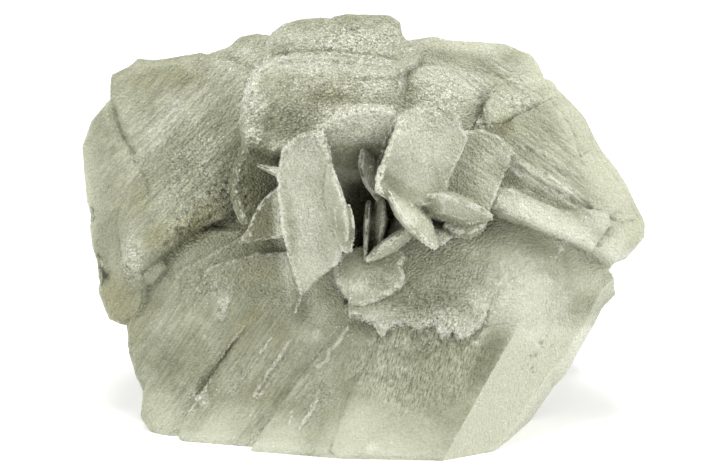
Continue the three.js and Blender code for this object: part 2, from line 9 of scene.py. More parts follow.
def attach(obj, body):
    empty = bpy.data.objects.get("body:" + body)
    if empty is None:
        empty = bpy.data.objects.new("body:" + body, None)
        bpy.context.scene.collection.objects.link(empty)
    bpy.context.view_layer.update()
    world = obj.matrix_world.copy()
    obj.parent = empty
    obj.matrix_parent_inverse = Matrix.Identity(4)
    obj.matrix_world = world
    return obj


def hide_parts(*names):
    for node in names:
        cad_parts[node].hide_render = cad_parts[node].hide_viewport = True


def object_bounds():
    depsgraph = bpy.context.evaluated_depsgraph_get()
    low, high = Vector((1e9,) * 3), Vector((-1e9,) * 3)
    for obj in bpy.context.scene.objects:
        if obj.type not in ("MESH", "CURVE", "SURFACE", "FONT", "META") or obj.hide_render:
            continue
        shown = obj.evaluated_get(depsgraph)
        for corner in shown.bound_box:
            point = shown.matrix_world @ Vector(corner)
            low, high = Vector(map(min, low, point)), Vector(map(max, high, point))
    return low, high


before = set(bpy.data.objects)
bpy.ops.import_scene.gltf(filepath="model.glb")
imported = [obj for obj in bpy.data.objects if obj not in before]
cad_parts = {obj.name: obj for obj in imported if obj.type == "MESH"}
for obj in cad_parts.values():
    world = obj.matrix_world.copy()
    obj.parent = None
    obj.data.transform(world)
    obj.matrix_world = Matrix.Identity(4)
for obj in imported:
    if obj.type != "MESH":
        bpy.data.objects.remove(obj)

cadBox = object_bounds()
mm = 0.001


# small helpers

def deselectAll():
    if bpy.context.object and bpy.context.object.mode != "OBJECT":
        bpy.ops.object.mode_set(mode="OBJECT")
    bpy.ops.object.select_all(action="DESELECT")


def makeActive(thing):
    deselectAll()
    thing.select_set(True)
    bpy.context.view_layer.objects.active = thing


def applyModifier(thing, modifier):
    makeActive(thing)
    bpy.ops.object.modifier_apply(modifier=modifier.name)


def spots(mesh):
    flat = np.empty(len(mesh.vertices) * 3)
    mesh.vertices.foreach_get("co", flat)
    return flat.reshape(-1, 3)


def normals(mesh):
    flat = np.empty(len(mesh.vertices) * 3)
    mesh.vertex_normals.foreach_get("vector", flat)
    return flat.reshape(-1, 3)


def edgePairs(mesh):
    flat = np.empty(len(mesh.edges) * 2, dtype=np.int64)
    mesh.edges.foreach_get("vertices", flat)
    return flat.reshape(-1, 2)


def spread(values, pairs, times):
    # each point's value moves towards the mean of its neighbours'
    count = len(values)
    near = np.bincount(pairs.ravel(), minlength=count).clip(1)
    for turn in range(times):
        total = (np.bincount(pairs[:, 0], weights=values[pairs[:, 1]], minlength=count)
                 + np.bincount(pairs[:, 1], weights=values[pairs[:, 0]], minlength=count))
        values = 0.5 * values + 0.5 * total / near
    return values


def ramp(values, low, high):
    share = ((values - low) / (high - low)).clip(0, 1)
    return share * share * (3 - 2 * share)


def band(values, start, full, fading, end):
    # rises from start to full and falls again from fading to end
    return ramp(values, start, full) * ramp(values, end, fading)


# the rose's own frame, in millimetres: x right, y in behind its face, z up the rose

rose = {
    "lean": 18,               # degrees, the top back
    "shift": (0.35, -36.54),
    "centre": (-2, 15, 44.2),
    "turned": (-0.5, 0.1),    # how far a face is turned to the front: still back, wholly front
    "deep": (46, 30),         # mm behind the face: still back, wholly front
    "sheltered": (9, 14),     # mm behind the face, over which the shaded patches come in
}
leanTurn = Matrix.Rotation(math.radians(-rose["lean"]), 3, "X")


def roseToWorld(place):
    return (leanTurn @ Vector(place) + Vector((*rose["shift"], 0))) * mm


def worldToRose(places):
    moved = places / mm - np.array([*rose["shift"], 0])
    return moved @ np.array(leanTurn)


# camera

# lens and sensor in mm, width: what the view takes in at the rose's centre, in mm, near and far in m
view = {"lens": 300, "sensor": 36, "width": 141.6, "near": 0.05, "far": 20}

cameraData = bpy.data.cameras.new("camera")
cameraData.lens = view["lens"]
cameraData.sensor_width = view["sensor"]
cameraData.clip_start = view["near"]
cameraData.clip_end = view["far"]
camera = bpy.data.objects.new("camera", cameraData)
bpy.context.scene.collection.objects.link(camera)
reach = view["width"] * view["lens"] / view["sensor"] * mm
ahead = leanTurn @ Vector((0, 1, 0))
camera.location = roseToWorld(rose["centre"]) - ahead * reach
camera.rotation_euler = ahead.to_track_quat("-Z", "Y").to_euler()
bpy.context.scene.camera = camera


# the crystal: a fine mesh over the same form

crystal = {
    "voxel": 0.28,            # mm
    "merge": 0.01,            # mm, corners closer than this are one
    "rounding": 14,           # passes of smoothing that an edge is measured against
    "edge": (0.03, 0.25),     # mm above the smoothed form: no edge, a full edge
    "leaf": (3, 6),           # mm thick: a leaf, a slab
    "lift": 0.1,              # mm, how far under the surface the thickness is felt from
    "feels": 8,               # mm, and how deep
    "leafPasses": 4,          # of smoothing, from leaf to slab
    "rise": (0.3, 2.5),       # mm above the ground, over which the relief comes in
    "rearTriangles": 40000,
    "triangles": 197000,
}

deselectAll()
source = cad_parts["selenite_cluster"]
cluster = bpy.data.objects.new("seleniteCluster", source.data.copy())
bpy.context.scene.collection.objects.link(cluster)
cluster.data.materials.clear()
makeActive(cluster)
bpy.ops.object.mode_set(mode="EDIT")
bpy.ops.mesh.select_all(action="SELECT")
bpy.ops.mesh.remove_doubles(threshold=crystal["merge"] * mm)
bpy.ops.object.mode_set(mode="OBJECT")

remesh = cluster.modifiers.new("fineSkin", "REMESH")
remesh.mode = "VOXEL"
remesh.voxel_size = crystal["voxel"] * mm
applyModifier(cluster, remesh)
settle = cluster.modifiers.new("settle", "SHRINKWRAP")  # back onto the flat faces, up to their creases
settle.wrap_method = "NEAREST_SURFACEPOINT"
settle.target = source
applyModifier(cluster, settle)
print("skin", len(cluster.data.vertices))


# where each kind of surface lies
# a patch is [x, z, half width, half height, turn in degrees, strength], as seen from in front of the rose

patches = {
    "frostAndLight": [  # white: frosted crust, and in places painted light on what lies in shade
        [32, 32, 9, 6, -30, 1], [4, 28, 7, 2.5, -10, 0.7], [17, 26.5, 6, 3, 0, 0.9],
        [23.5, 31, 3, 4, 30, 0.9], [15, 36, 12, 3, 0, 0.3], [-46.5, 40, 2, 5, 0, 0.8],
        [-32.8, 12, 1.1, 2.2, 45, 0.8], [30, 77, 8, 2, -40, 0.6], [37, 47, 13, 2.8, -27, 1],
        [46.5, 47.4, 4, 3, 0, 0.8], [31.5, 57.6, 6, 1.4, -36, 0.9], [39, 53.4, 6, 1.6, -36, 0.9],
        [48.6, 41, 3.5, 3, -20, 1], [36, 60, 8, 5, -36, 0.2], [30, 71, 6, 3, 20, 0.5],
        [-2, 83.4, 14, 4, 0, 0.7], [0, 66.5, 9, 3, 0, 1], [24, 58, 5, 7, 0, 0.4], [20, 74, 5, 4, 0, 0.9],
        [-16.2, 45, 1.4, 13, 6, 0.9], [2, 75.5, 4.5, 4, 0, 0.9], [16, 72, 7, 5, 0, 0.75],
        [21.5, 41, 4, 2, 0, 0.5], [45, 35, 4, 3, 0, 0.5], [0, 68.6, 8, 1.6, 0, 1],
        [-27, 78, 8, 4, 0, 0.6], [-14, 84, 6, 3, 0, 0.6], [-8, 78.8, 14, 2.4, 0, 0.9],
        [-22.5, 71, 2.5, 7, 0, 0.8], [-12, 48, 5.5, 16, 5, 0.6], [12.5, 61, 8, 8, 30, 0.45],
        [4, 66, 6, 3, 0, 0.6], [16, 76, 8, 3, -10, 0.8], [-24, 81, 4, 2, 20, 0.8],
        [-40, 66, 10, 3, 47, 0.6], [-32, 24, 0.5, 0.5, 0, 0.8], [1.6, 2.4, 1.2, 1, 0, 1],
        [-9.8, 24.2, 2, 1.2, 0, 0.8], [1, 36, 5, 4, 0, 0.4], [-28.4, 31, 1.5, 3.2, -20, 0.65],
        [6, 36, 6, 2, 20, 0.5], [-2, 34, 4, 1.5, -20, 0.7], [10, 47, 9, 3, -30, 0.6],
        [20, 49, 7, 2.5, -10, 0.5], [-4, 49, 2, 8, 10, 0.5],
    ],
    "glass": [  # pale and clear, where a slab thins out
        [-40, 7, 5, 4, 0, 0.75], [-30, 4.5, 6, 3.5, 35, 0.9], [-17, 3, 6, 3.5, 35, 1],
        [-2.5, 4.5, 4, 6, -45, 1], [6, 2.4, 10, 3.5, 0, 0.75], [48.5, 56, 10, 3.2, -55, 1],
        [53, 46, 3.5, 4, 0, 0.9], [42, 66.5, 7, 2.6, -60, 1], [36, 76, 6, 3, -50, 1],
        [22, 82.6, 10, 1.5, -5, 0.9], [-56, 50, 1.8, 16, 0, 0.7], [-50, 70, 4, 4, 45, 0.5],
        [-40, 79, 10, 1.5, 5, 0.4],
    ],
    "shaded": [  # behind other crystals, out of the light
        [1.5, 51.5, 5.5, 9.5, 0, 1], [21, 46.4, 7, 1.6, -10, 0.7], [27, 50, 4, 1.5, -30, 0.5],
        [-17.6, 53, 1.6, 6, 0, 0.6], [-12, 40, 6, 4, 0, 0.5],
    ],
    "deep": [  # dark: the see-into depth of the stone, and painted shade in grooves, under ledges and in the hollow
        [-26.2, 57, 3.4, 8, -10, 1], [33, 53.8, 7, 1.8, -27, 1], [39.4, 50.4, 4, 1.2, -27, 0.8],
        [27, 42.5, 4.5, 2.6, -15, 0.25], [12.5, 21.5, 10, 3.2, 8, 0.6], [-42, 31.5, 4, 4.5, 0, 0.6],
        [-31, 15.6, 5, 1.8, 56, 0.9], [-24, 26, 7, 1.2, 56, 0.5], [-20, 44, 7, 2.5, 20, 0.7],
        [-35, 45, 9, 1.6, 38, 0.6], [-14.5, 15.5, 16, 1.4, 55, 0.5], [-16, 66.6, 7, 3.2, -5, 1],
        [-7, 72, 8, 1.4, 4, 0.5], [-24, 18, 17, 13, 30, 0.42], [-21, 53, 4, 10, 0, 1],
        [-39, 19, 6, 8, 0, 0.65], [-19.6, 47.5, 4.5, 7, 20, 1], [9.2, 73, 1.3, 4, 0, 0.8],
        [-8.4, 43, 1.8, 9, 5, 0.5], [-11, 46, 3, 9, 5, 0.3], [10.5, 59, 5, 6, 20, 0.3],
        [-13, 30, 2.6, 3, 0, 0.9], [-28.4, 19.4, 2, 1.2, 50, 0.9], [-32, 15, 2, 1.2, 50, 0.9],
        [-20, 16, 9, 5, 56, 0.4], [-36, 24, 9, 9, 0, 0.45], [-33, 36, 9, 3.5, 20, 0.35],
        [13, 31, 10, 3, 0, 0.6], [18, 13, 5, 9, -30, 0.35], [23, 78, 8, 2, -10, 0.4],
        [4, 16, 6, 4, 0, 0.4], [3, 56, 5, 6, 0, 1], [22, 53, 4, 4, 0, 0.4], [0, 46, 5, 6, 0, 0.9],
        [25, 21, 2.6, 8, -30, 0.85], [-46, 33.5, 2, 4, 0, 0.6],
    ],
    "olive": [  # yellow brown
        [-49, 30, 4.5, 6, 0, 0.9], [-23.4, 26.5, 1.6, 6, -38, 0.7], [33, 19, 3, 5, -30, 0.5],
        [-41, 44, 4, 3, 0, 0.8], [-37, 76.5, 12, 3, 5, 0.6], [-21, 37, 7, 4, 0, 0.5],
        [54, 46, 2, 4, 0, 0.7], [45, 35, 4, 3.5, -15, 0.2], [-20, 14, 8, 5, 56, 0.4],
        [20, 70, 3, 4, -50, 0.5], [1, 46, 3, 7, 0, 0.9], [35, 20, 6, 3, 60, 0.4], [-46, 52, 4, 6, 0, 0.5],
        [24, 56, 5, 6, 0, 0.25], [-34, 46.5, 8, 2.6, 38, 0.9], [28.4, 66, 2, 2.4, 0, 0.8],
        [-21.5, 53, 4, 9, 0, 0.8], [-19.6, 47.5, 4, 6, 20, 0.9], [-6, 72, 12, 3, 0, 0.5],
        [-16, 25, 8, 5, 56, 0.4],
    ],
    "pitted": [  # small holes, darkened with painted shade
        [-28, 52, 4, 4.5, 25, 1], [-4, 82, 14, 4, 0, 0.4], [-14, 69, 9, 5, 0, 0.3],
        [12, 22.5, 9, 2.5, 0, 0.4], [-34, 47, 7, 2.4, 40, 0.8], [34.4, 20, 2.4, 6, -30, 0.5],
    ],
    "grained": [  # sugary
        [-8, 69, 13, 8, 0, 1], [14, 71, 8, 6, 0, 0.8], [-31, 55, 9, 10, 30, 1], [-34, 47.5, 8, 3, 38, 1],
        [8, 60, 10, 8, 0, 0.4], [-11, 48, 5, 12, 0, 0.45], [14, 30, 12, 6, 0, 0.8],
        [14, 17, 12, 8, 0, 0.35], [22, 58, 6, 6, 0, 0.3], [2, 36, 6, 5, 0, 0.5], [-2, 83, 12, 4, 0, 1],
        [30, 71, 5, 3, 0, 0.7], [-46.5, 39, 2.5, 5, 0, 0.8], [35, 20, 2, 6, -30, 0.6],
        [-42, 47, 3, 9, 0, 0.4], [-22.6, 68, 2.5, 8, 0, 1], [15, 41, 12, 4, 0, 0.5],
        [-26, 15, 5, 9, -30, 0.5], [-9, 12, 4.5, 8, -30, 0.6], [-31, 35, 8, 4, 20, 0.75],
        [-17, 19, 4, 6, -30, 0.5],
    ],
    "lumpy": [  # crumbled
        [-2, 83, 15, 4, 0, 0.6], [30, 71, 5, 3, 20, 0.7], [-46.6, 39.5, 2.2, 5, 0, 0.8],
        [-28, 31, 3, 5, 0, 0.8], [-38, 40, 5, 3, 40, 0.5], [16, 29, 8, 4, 0, 0.5], [-6, 36, 3, 3, 0, 0.5],
        [-24, 81, 5, 2, 20, 0.6],
    ],
    "flaky": [  # broken into small slanting flakes
        [34, 60, 8, 5, -36, 1], [28, 76, 9, 4, -20, 0.7], [44, 50, 5, 2.5, -27, 0.9],
        [34, 70, 5, 2.5, 30, 0.8], [-30, 38, 8, 3, 25, 0.5],
    ],
    "bare": [  # without any sugar
        [-22, 53, 4.5, 8, 0, 1], [1.5, 52, 5, 8, 0, 1], [-19, 46, 7, 4, 0, 1], [23, 58, 4, 6, 0, 0.7],
        [-30, 36, 12, 4, 0, 1],
    ],
    "lit": [  # lighter than its shelter would make it
        [-22, 54, 5, 8, 0, 0.15], [-31, 50, 9, 5, 30, 0.3], [-1, 65.5, 6, 3, 0, 0.8],
        [8.5, 48, 6, 4, -40, 0.5], [21.5, 41, 5, 2, 0, 0.6], [2.6, 54, 1.5, 4, 0, 0.8],
        [1, 36, 5, 4, 0, 0.4], [45, 35, 4, 3, 0, 0.4], [37, 46.5, 11, 2.4, -27, 0.4],
        [15, 73, 6, 4, 0, 0.35], [-13, 50, 5, 14, 5, 0.25], [-16.2, 46, 1.4, 12, 8, 0.6],
        [3.6, 60, 1.4, 8, -17, 0.6], [-22, 80, 5, 5, 0, 0.3], [29, 71, 5, 4, 0, 0.3],
    ],
    "murky": [  # no light comes through, however thin
        [-19.6, 47.5, 4, 7, 20, 1], [-22, 54, 4, 7, 0, 0.7],
    ],
    "hairs": [  # short upright fibres
        [11, 19, 11, 7, 10, 1], [2, 34, 8, 6, 0, 0.4], [20, 36, 12, 5, 0, 0.5],
    ],
    "rimmed": [  # white along its edges: partly white crust, partly painted highlight
        [2, 55, 22, 18, 0, 1], [10, 27, 15, 4, 0, 1], [-28, 36, 14, 6, 25, 0.5], [-10, 76, 16, 6, 0, 0.9],
        [16, 72, 9, 7, 0, 0.7], [36, 46, 13, 4, -27, 0.7], [-33, 12, 3, 3, 56, 0.8],
        [-1, 20, 13, 2, 55, 0.3],
    ],
    "streakedLeft": [[-34, 62, 16, 15, 0, 1], [-28, 50, 8, 8, 0, 0.8]],
    "streakedRight": [
        [38, 60, 9, 8, 0, 1], [28, 76, 9, 5, 0, 0.7], [48, 56, 7, 9, 0, 0.4], [24, 57, 6, 8, 0, 0.7],
    ],
    "streakedLow": [[-28, 18, 20, 20, 0, 1], [8, 10, 12, 12, 0, 0.4]],
    "notched": [
        [-55.5, 48.5, 1.2, 1.2, 0, 1], [-54, 38.5, 1.6, 1.6, 0, 1], [-52.5, 36.3, 1.2, 1.5, 0, 1],
    ],
}


def patchField(places, facing, kind):
    # 1 in the middle of a patch, a half at its stated size, 0 at twice that
    field = np.zeros(len(places))
    for x, z, wide, high, turn, strength in patches[kind]:
        angle = math.radians(turn)
        right = places[:, 0] - x
        up = places[:, 2] - z
        along = (right * math.cos(angle) + up * math.sin(angle)) / wide
        across = (up * math.cos(angle) - right * math.sin(angle)) / high
        field = np.maximum(field, strength * (1 - np.hypot(along, across) / 2).clip(0, 1))
    return field * facing


# a seam is its x, z points, its half width in mm and its strength

seams = {
    "crumbs": [  # white and crumbled
        ([[-23.6, 26.6], [-29.4, 19]], 0.4, 0.7), ([[-18.4, 24], [-24.4, 15.4]], 0.45, 0.7),
        ([[-14.6, 23.6], [-22, 12.2]], 0.7, 0.9), ([[-18.8, 14.8], [-21.4, 11.8]], 0.5, 0.8),
        ([[-9.2, 11.6], [-12.8, 6]], 0.6, 0.9), ([[-14.4, 9.4], [-15, 7]], 0.7, 0.7),
        ([[-33.6, 12.6], [-32.4, 11]], 1.1, 1), ([[-27.4, 31], [-28.6, 27.4]], 0.9, 0.7),
        ([[-12.6, 32], [-13.6, 29]], 0.7, 0.8), ([[7.6, 77], [7.4, 74.4], [6.5, 72], [6.5, 69]], 0.9, 1),
        ([[-18, 79.2], [-9, 79.9], [-4, 79.5], [1.5, 79.1], [6.4, 77.8]], 0.9, 0.9),
        ([[-15.8, 62], [-17, 56.2], [-16.6, 50], [-15.6, 43], [-13.4, 36], [-12.4, 32.6]], 0.8, 0.8),
        ([[7, 68.4], [4.6, 64], [3, 58.8], [2.4, 53]], 0.8, 0.8),
        ([[-21.5, 78.4], [-23.6, 73], [-23.4, 65]], 0.9, 0.8),
        ([[20.4, 77], [23.2, 72], [23, 66]], 0.7, 0.7), ([[8, 68.6], [14, 68.8], [17.6, 66]], 0.6, 0.5),
    ],
    "strips": [  # thin raised slivers
        ([[-3.4, 25.8], [-5.4, 22.8], [-7, 21.4], [-7.3, 19.4], [-9.2, 18.2]], 0.8, 1),
        ([[-12.8, 20.8], [-19.4, 11]], 0.35, 0.4), ([[-5.4, 26], [-10.4, 19.8]], 0.4, 0.6),
        ([[-14, 24], [-14.6, 21.4], [-21, 11.6]], 0.35, 0.5),
    ],
    "cracks": [  # dark and sunk in: painted shade along the cracks
        ([[-25.6, 23.4], [-33.6, 12.2]], 0.7, 0.9), ([[-6, 24.6], [-11.2, 18.4]], 0.35, 0.5),
        ([[-15.6, 21.2], [-21.4, 12.4]], 0.35, 0.4),
        ([[23.5, 66.4], [27.4, 66.6], [33, 69.4], [37.6, 71.8]], 0.35, 0.8),
        ([[24, 71], [24.8, 67]], 0.3, 0.5), ([[-30, 41.4], [-38, 37.4], [-41.4, 31.4]], 0.5, 0.5),
        ([[-18, 80.8], [-9, 81.5], [-4, 81.1], [1.5, 80.7], [7, 79.4]], 0.7, 0.7),
        ([[8.8, 77], [8.6, 74], [7.9, 70]], 0.6, 0.7),
    ],
}


def seamField(places, facing, kind):
    # 1 on a line, 0 at its half width
    shake = 0.2 * noiseField(places, 1.6)
    flat = places[:, [0, 2]] + np.stack([shake, -shake], axis=1)
    field = np.zeros(len(places))
    for line, halfWidth, strength in seams[kind]:
        for start, end in zip(np.array(line[:-1]), np.array(line[1:])):
            along = end - start
            share = ((flat - start) @ along / (along @ along)).clip(0, 1)
            gap = np.linalg.norm(flat - start - share[:, None] * along, axis=1)
            field = np.maximum(field, strength * ramp(gap, halfWidth, 0))
    return field * facing


# the layer on the lower middle slab: its ragged lower edge as x, z points, and how white that is at each x
crust = {
    "edge": [[-6, 28.6], [-2.8, 28.2], [2, 27], [3.4, 24.4], [5.2, 26], [8, 26.8], [11.2, 25.2],
             [13.8, 26.6], [15.4, 24], [17.6, 25], [19.5, 23.4], [22, 25.2], [24, 27.4], [24.8, 30.4],
             [26.5, 33]],
    "white": [[-6, 0.1], [0, 0.3], [2, 0.8], [7, 0.9], [8.5, 0.3], [12, 0.3], [13.5, 0.9], [24, 1]],
    "reach": (-3, 25),              # mm, from left to right
    "sideways": (0.8, 1.2),         # mm, how far the edge strays and the size of its noise
    "upAndDown": (1.1, 0.9),
    "step": (0, 0.35),              # mm above the edge, over which the layer rises
    "top": (38, 33),                # mm up, where it has ended and where it is still whole
    "depth": (2, 4),                # mm behind the face, where it begins and is whole
    # mm above the edge, where each band starts, is full, begins to fade and ends
    "rim": (-0.2, 0.1, 0.3, 1.3),
    "shade": (-3.5, -0.8, -0.6, 0.2),
    "sugar": (-0.2, 0.1, 0.3, 1.5),
}
# the long facet, in mm: the low and the high end of the line where it begins, how softly it begins and the
# heights between which it fades
facet = {"low": [16.8, 2.2], "high": [35.4, 34.8], "blend": 0.2, "fade": (31, 21)}


def aboveCrustEdge(places):
    # how far a place lies above the crust's edge, in mm
    line = np.array(crust["edge"])
    left, right = crust["reach"]
    farShake, farSize = crust["sideways"]
    highShake, highSize = crust["upAndDown"]
    shaky = places[:, 0] + farShake * noiseField(places, farSize, 90)
    above = places[:, 2] - np.interp(shaky, line[:, 0], line[:, 1]) + highShake * noiseField(places, highSize)
    return np.where((places[:, 0] > left) & (places[:, 0] < right), above, -5)  # beside it: well below


def onFacet(places):
    low, high = facet["low"], facet["high"]
    begins = low[0] + (places[:, 2] - low[1]) * (high[0] - low[0]) / (high[1] - low[1])
    return ramp(places[:, 0] - begins, -facet["blend"], facet["blend"]) * ramp(places[:, 2], *facet["fade"])


def depthField(places, facing, kind):
    # a patch that only reaches what lies well behind the front
    return patchField(places, facing, kind) * ramp(places[:, 1], *rose["sheltered"])


def noiseField(places, size, shift=0):
    # smooth noise from -1 to 1, its lumps about the given size in mm; a shift gives another pattern
    scaled = ((places + shift) / size).tolist()
    return np.array([noise.noise(place) for place in scaled])


def frontness(places, directions):
    # 1 on what faces the front, 0 on the back
    turned = directions @ np.array(leanTurn)
    return ramp(-turned[:, 1], *rose["turned"]) * ramp(places[:, 1], *rose["deep"])


def paintGroup(thing, name, values, levels=20):
    group = thing.vertex_groups.new(name=name)
    steps = np.round(values.clip(0, 1) * levels).astype(int)
    for step in range(1, levels + 1):
        group.add(np.nonzero(steps == step)[0].tolist(), step / levels, "REPLACE")


def castDistances(tree, starts, directions, longest):
    # how far each ray runs before it meets the crystal
    runs = np.full(len(starts), float(longest))
    for i in range(len(starts)):
        hit = tree.ray_cast(starts[i], directions[i], longest)
        if hit[3] is not None:
            runs[i] = hit[3]
    return runs


def heightAbove(points, away, pairs, passes):
    # how far each point stands out of the smoothed form, in mm: over 0 on ridges, under 0 in grooves
    smoothed = np.stack([spread(points[:, k], pairs, passes) for k in range(3)], axis=1)
    return ((points - smoothed) * away).sum(axis=1) / mm


def meshTree(mesh):
    corners = [tuple(place) for place in spots(mesh)]
    return BVHTree.FromPolygons(corners, [tuple(face.vertices) for face in mesh.polygons])


fine = cluster.data
points = spots(fine)
facing = normals(fine)
places = worldToRose(points)
front = frontness(places, facing)
back = 1 - front
pairs = edgePairs(fine)
edges = ramp(heightAbove(points, facing, pairs, crystal["rounding"]), *crystal["edge"])
starts = points - facing * crystal["lift"] * mm
thickness = castDistances(meshTree(fine), starts, -facing, crystal["feels"] * mm) / mm
leaf = 1 - ramp(thickness, *crystal["leaf"])
aboveBase = ramp(points[:, 2] / mm, *crystal["rise"])
coarse = noiseField(places, 3.2)
middling = noiseField(places, 1.3, 40)
broken = coarse * 0.6 + middling * 0.4

paintGroup(cluster, "everywhere", aboveBase)
polished = np.maximum(patchField(places, front, "glass"), onFacet(places) * front)
paintGroup(cluster, "unpolished", (1 - 0.85 * ramp(polished, 0, 0.5)) * aboveBase)
paintGroup(cluster, "slabEdges", edges * (1 - leaf) * aboveBase)
paintGroup(cluster, "leafEdges", edges * spread(leaf, pairs, crystal["leafPasses"]) * aboveBase)
# how strong each is on the back
rearRelief = {"streakedLeft": 0.9, "streakedLow": 0.8, "grained": 0.5, "lumpy": 0.5, "pitted": 0.3}
for kind in ("streakedLeft", "streakedRight", "streakedLow", "grained", "notched", "flaky"):
    share = np.maximum(patchField(places, front, kind), rearRelief.get(kind, 0) * back)
    paintGroup(cluster, kind, share * aboveBase)
rearBroken = back * ramp(noiseField(places, 9, 5), -0.1, 0.4)
lumpy = np.maximum(patchField(places, front, "lumpy"), rearRelief["lumpy"] * rearBroken)
paintGroup(cluster, "lumpy", ramp(lumpy + 0.35 * broken, 0.2, 0.8) * aboveBase)
pitted = np.maximum(patchField(places, front, "pitted"), rearRelief["pitted"] * rearBroken)
holes = ramp(middling + 0.5 * noiseField(places, 0.7), 0.28, 0.55)
paintGroup(cluster, "pits", holes * ramp(pitted, 0.1, 0.6) * aboveBase)
speckled = noiseField(places, 0.8, 17)
crumbly = seamField(places, front, "crumbs") * (0.6 + 1.4 * speckled)
paintGroup(cluster, "crumbs", ramp(crumbly, 0.2, 0.7) * aboveBase)
paintGroup(cluster, "strips", seamField(places, front, "strips") * aboveBase)
paintGroup(cluster, "cracks", seamField(places, front, "cracks") * aboveBase)
onCrust = (ramp(aboveCrustEdge(places), *crust["step"]) * ramp(places[:, 2], *crust["top"])
           * ramp(places[:, 1], *crust["depth"]))
paintGroup(cluster, "crust", onCrust * front)


# relief, coarse to fine

# a texture's space: its slant in the rose's face, in degrees up from level, and what one unit of the texture
# measures along the slant, into the stone and across the slant, in mm
spaces = {
    "even": (0, (1, 1, 1)),
    "left": (46, (6, 2, 1)),
    "right": (-36, (7, 2, 1.2)),
    "low": (57, (14, 2, 1)),
    "flake": (-36, (3, 1.5, 1)),
}
# the texture with its size, depth and contrast, its space, the height in mm, the group it works on and the
# level that stays in place; a layer with no texture is raised or sunk evenly
relief = {
    "swell": ("CLOUDS", 9, 2, 1, "even", 0.45, "everywhere", 0.5),
    "notches": (None, 0, 0, 0, None, -1.9, "notched", 0),
    "slabWaves": ("CLOUDS", 2.2, 3, 1.3, "even", 0.56, "slabEdges", 0.6),
    "slabBites": ("CLOUDS", 1, 2, 1.5, "even", 0.42, "slabEdges", 0.6),
    "leafWaves": ("CLOUDS", 2.4, 2, 1.5, "even", 1.0, "leafEdges", 0.6),
    "leafBites": ("CLOUDS", 0.9, 1, 1.3, "even", 0.4, "leafEdges", 0.5),
    "streaksLeft": ("CLOUDS", 0.9, 2, 1.3, "left", 0.35, "streakedLeft", 0.5),
    "streaksRight": ("CLOUDS", 0.9, 2, 1.3, "right", 0.175, "streakedRight", 0.5),
    "fibres": ("CLOUDS", 0.8, 1, 1, "low", 0.08, "streakedLow", 0.5),
    "crumbs": (None, 0, 0, 0, None, 0.3, "crumbs", 0),
    "strips": (None, 0, 0, 0, None, 0.22, "strips", 0),
    "cracks": (None, 0, 0, 0, None, -0.2, "cracks", 0),
    "crust": (None, 0, 0, 0, None, 0.25, "crust", 0),
    "lumps": ("CLOUDS", 2.6, 3, 1.4, "even", 0.9, "lumpy", 0.5),
    "rubble": ("VORONOI", 1.4, 0, 1, "even", -0.54, "lumpy", 0.4),
    "flakes": ("CLOUDS", 0.8, 2, 2, "flake", 0.6, "flaky", 0.5),
    "pits": (None, 0, 0, 0, None, -0.4, "pits", 0),
    "grain": ("VORONOI", 0.65, 0, 1, "even", -0.28, "grained", 0.4),
    "fineGrain": ("CLOUDS", 0.8, 1, 1, "even", 0.112, "unpolished", 0.5),
}


def textureSpace(name, slant, size):
    space = bpy.data.objects.new(name + "Space", None)
    bpy.context.scene.collection.objects.link(space)
    turn = leanTurn @ Matrix.Rotation(math.radians(-slant), 3, "Y")
    space.matrix_world = turn.to_4x4() @ Matrix.Diagonal((*[side * mm for side in size], 1))
    bpy.context.view_layer.update()
    return space


def raiseRelief(name, kind, size, depth, contrast, space, height, group, middle):
    layer = cluster.modifiers.new(name, "DISPLACE")
    if kind:
        texture = bpy.data.textures.new(name, kind)
        texture.noise_scale = size
        texture.contrast = contrast
        if kind == "CLOUDS":
            texture.noise_depth = depth
        layer.texture = texture
        layer.texture_coords = "OBJECT"
        layer.texture_coords_object = laidSpaces[space]
    layer.direction = "NORMAL"
    layer.strength = height * mm
    layer.mid_level = middle
    layer.vertex_group = group
    applyModifier(cluster, layer)


laidSpaces = {name: textureSpace(name, *settings) for name, settings in spaces.items()}
for name, settings in relief.items():
    raiseRelief(name, *settings)
print("relief done")

# nothing passes the stone's own limits or sinks below what it stands on
flat = spots(fine).clip([*cadBox[0]], [*cadBox[1]])
fine.vertices.foreach_set("co", flat.ravel())
fine.update()

# the back is thinned first, then all of it
paintGroup(cluster, "rear", np.where(front < 0.1, 1.0, 0.0))
total = 2 * len(fine.polygons)
rearShare = float((front < 0.1).mean())
rear = cluster.modifiers.new("rearThinner", "DECIMATE")
rear.ratio = 1 - rearShare + crystal["rearTriangles"] / total
rear.vertex_group = "rear"
rear.use_collapse_triangulate = True
applyModifier(cluster, rear)
thin = cluster.modifiers.new("thinner", "DECIMATE")
thin.ratio = min(1, crystal["triangles"] / len(fine.polygons))
thin.use_collapse_triangulate = True
applyModifier(cluster, thin)
thinned = spots(cluster.data).clip([*cadBox[0]], [*cadBox[1]])
cluster.data.vertices.foreach_set("co", thinned.ravel())
cluster.data.update()
for space in laidSpaces.values():
    bpy.data.objects.remove(space)
cluster.vertex_groups.clear()
print("crystal mesh", len(cluster.data.polygons))


# what the finish and the painted light and shade are worked out from: thickness, shelter, edges and the
# patches

